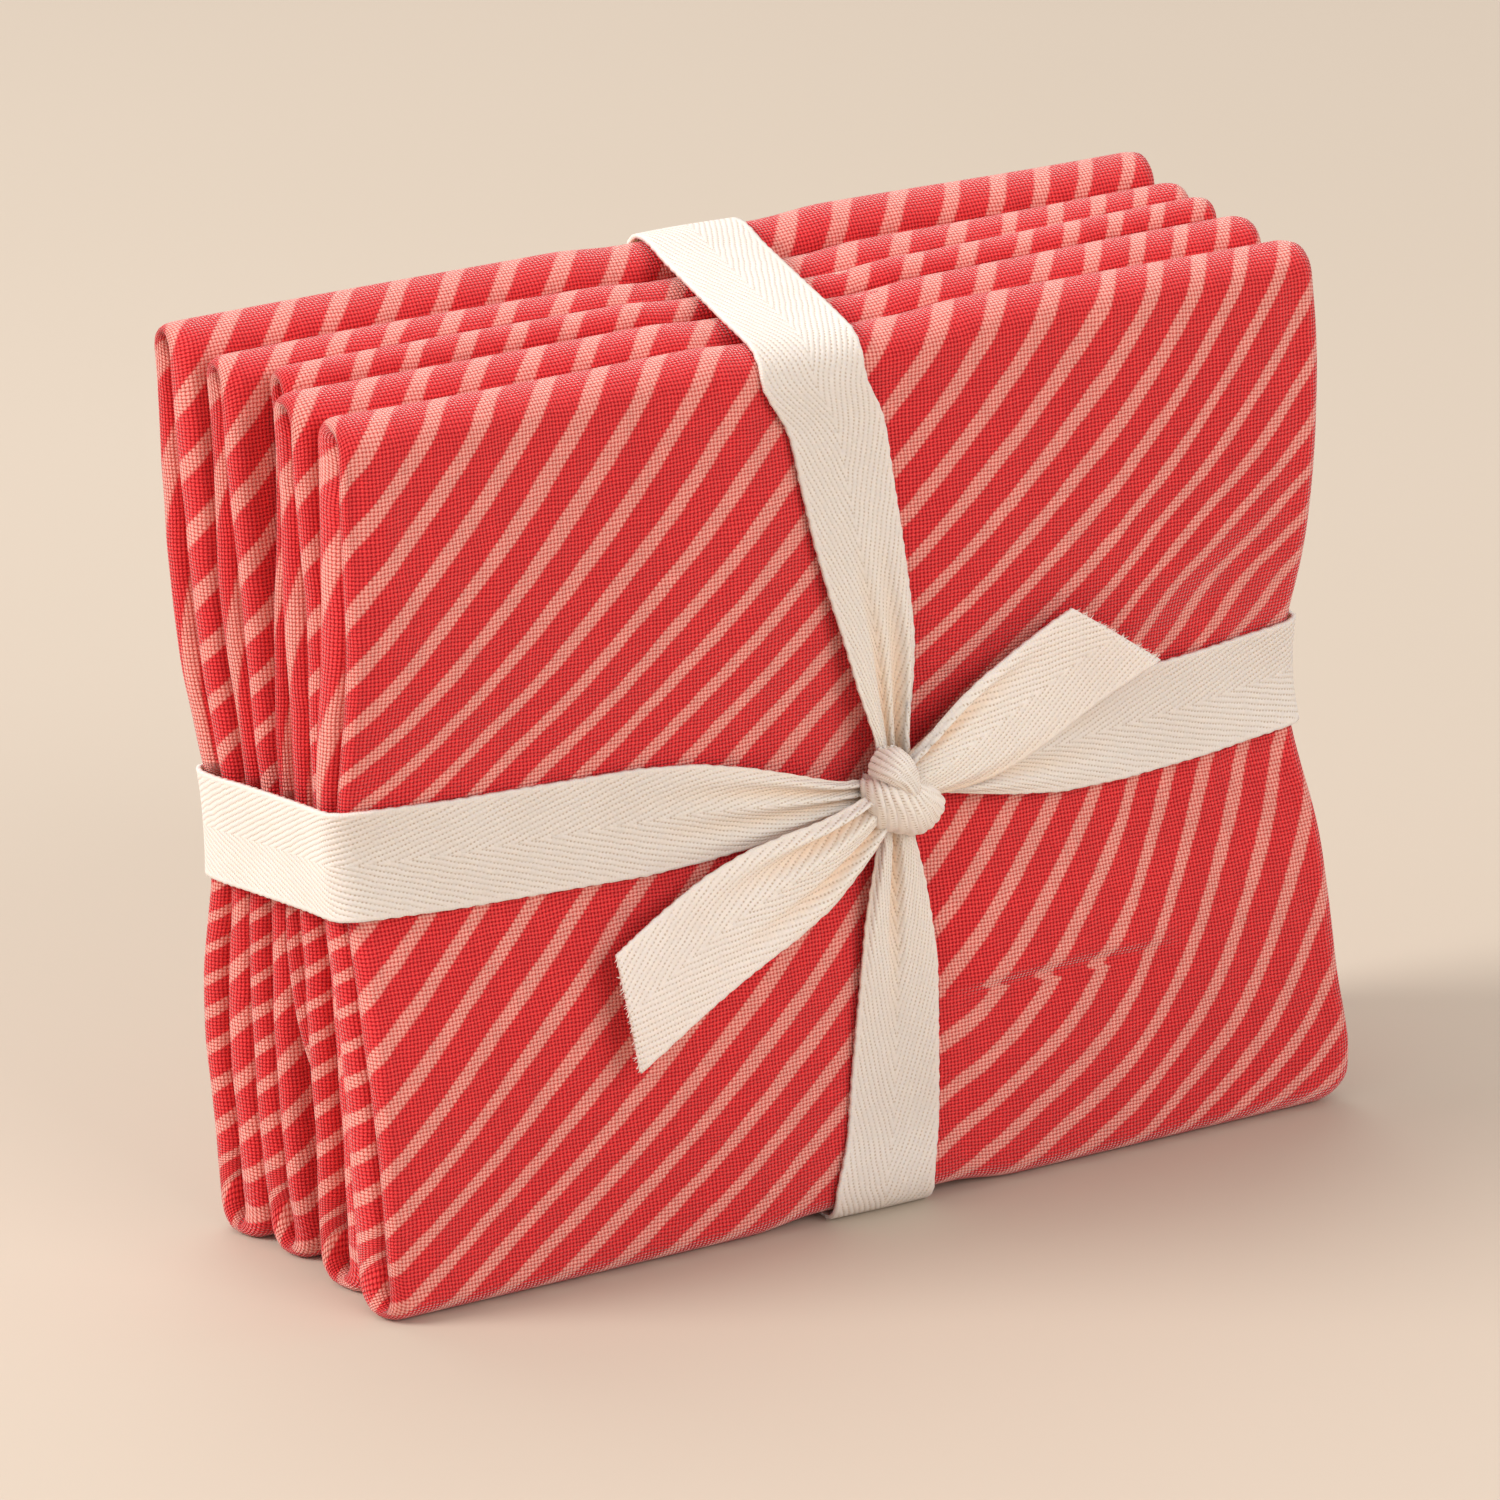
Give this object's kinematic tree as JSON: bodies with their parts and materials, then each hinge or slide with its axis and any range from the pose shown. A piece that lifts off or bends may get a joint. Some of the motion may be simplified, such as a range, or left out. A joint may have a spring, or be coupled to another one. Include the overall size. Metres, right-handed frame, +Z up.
{
  "type": "stack of fabric",
  "caption": "Folded cotton cuts with a diagonal stripe, standing on edge side by side and tied crosswise with a flat herringbone cotton tape, knotted at the front.",
  "frame": {"origin": "middle of the underside of the whole stack's box", "axes": "+X along the width, to the right seen from the front; +Y from the front cut to the back cut; +Z up"},
  "size_m": [0.195, 0.07, 0.1634],
  "materials": {
    "striped_cotton": "plain weave cotton, red with a paler red diagonal stripe",
    "cotton_tape": "cream herringbone twill tape"
  },
  "bodies": {
    "root": {"cut_front": "striped_cotton", "cut_second": "striped_cotton", "cut_middle": "striped_cotton", "cut_fourth": "striped_cotton", "cut_back": "striped_cotton", "waist_tape": "cotton_tape", "upright_tape": "cotton_tape", "upper_tail": "cotton_tape", "lower_tail": "cotton_tape", "knot": "cotton_tape"}
  },
  "joints": []
}
